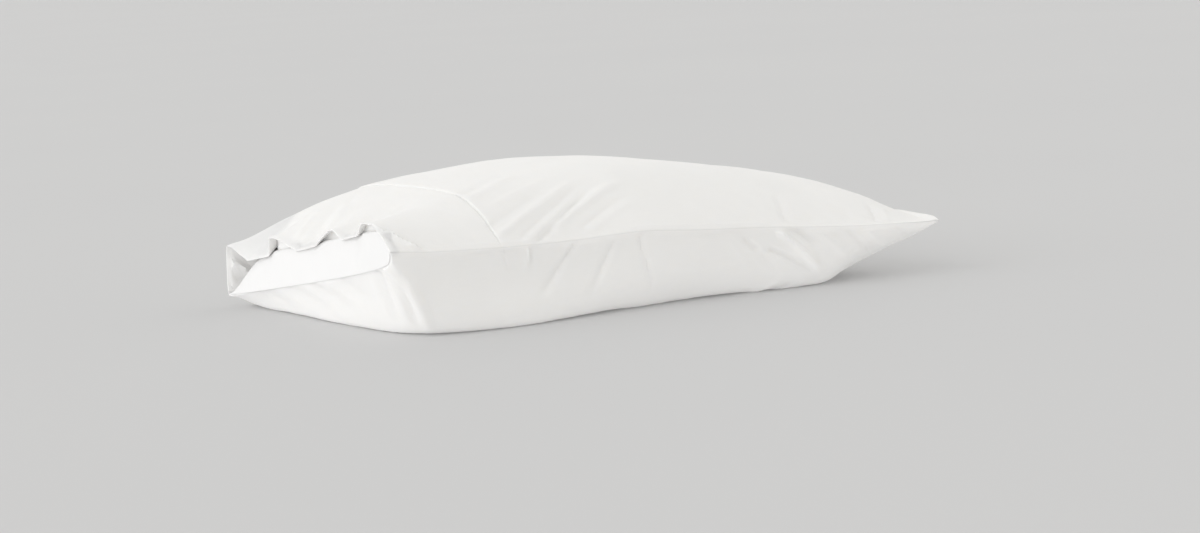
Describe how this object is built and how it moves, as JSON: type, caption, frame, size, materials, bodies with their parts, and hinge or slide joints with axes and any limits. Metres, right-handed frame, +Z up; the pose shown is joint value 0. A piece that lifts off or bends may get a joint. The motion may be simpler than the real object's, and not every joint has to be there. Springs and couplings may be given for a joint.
{
  "type": "pillowcase",
  "caption": "Filled cotton pillowcase lying flat, with a deep stitched hem, a wavy open edge and an inner flap tucked in over the filling.",
  "frame": {"origin": "middle of the underside, on the surface that the filled case lies on", "axes": "+X along the case from its open end to its closed end, +Y across it towards the side with the hollow corner, +Z up"},
  "size_m": [0.72, 0.4832, 0.1642],
  "materials": {
    "case_cotton": "matt fine plain weave, white",
    "flap_cotton": "matt fine plain weave, white"
  },
  "bodies": {
    "root": {"case": "case_cotton", "flap": "flap_cotton"}
  },
  "joints": []
}
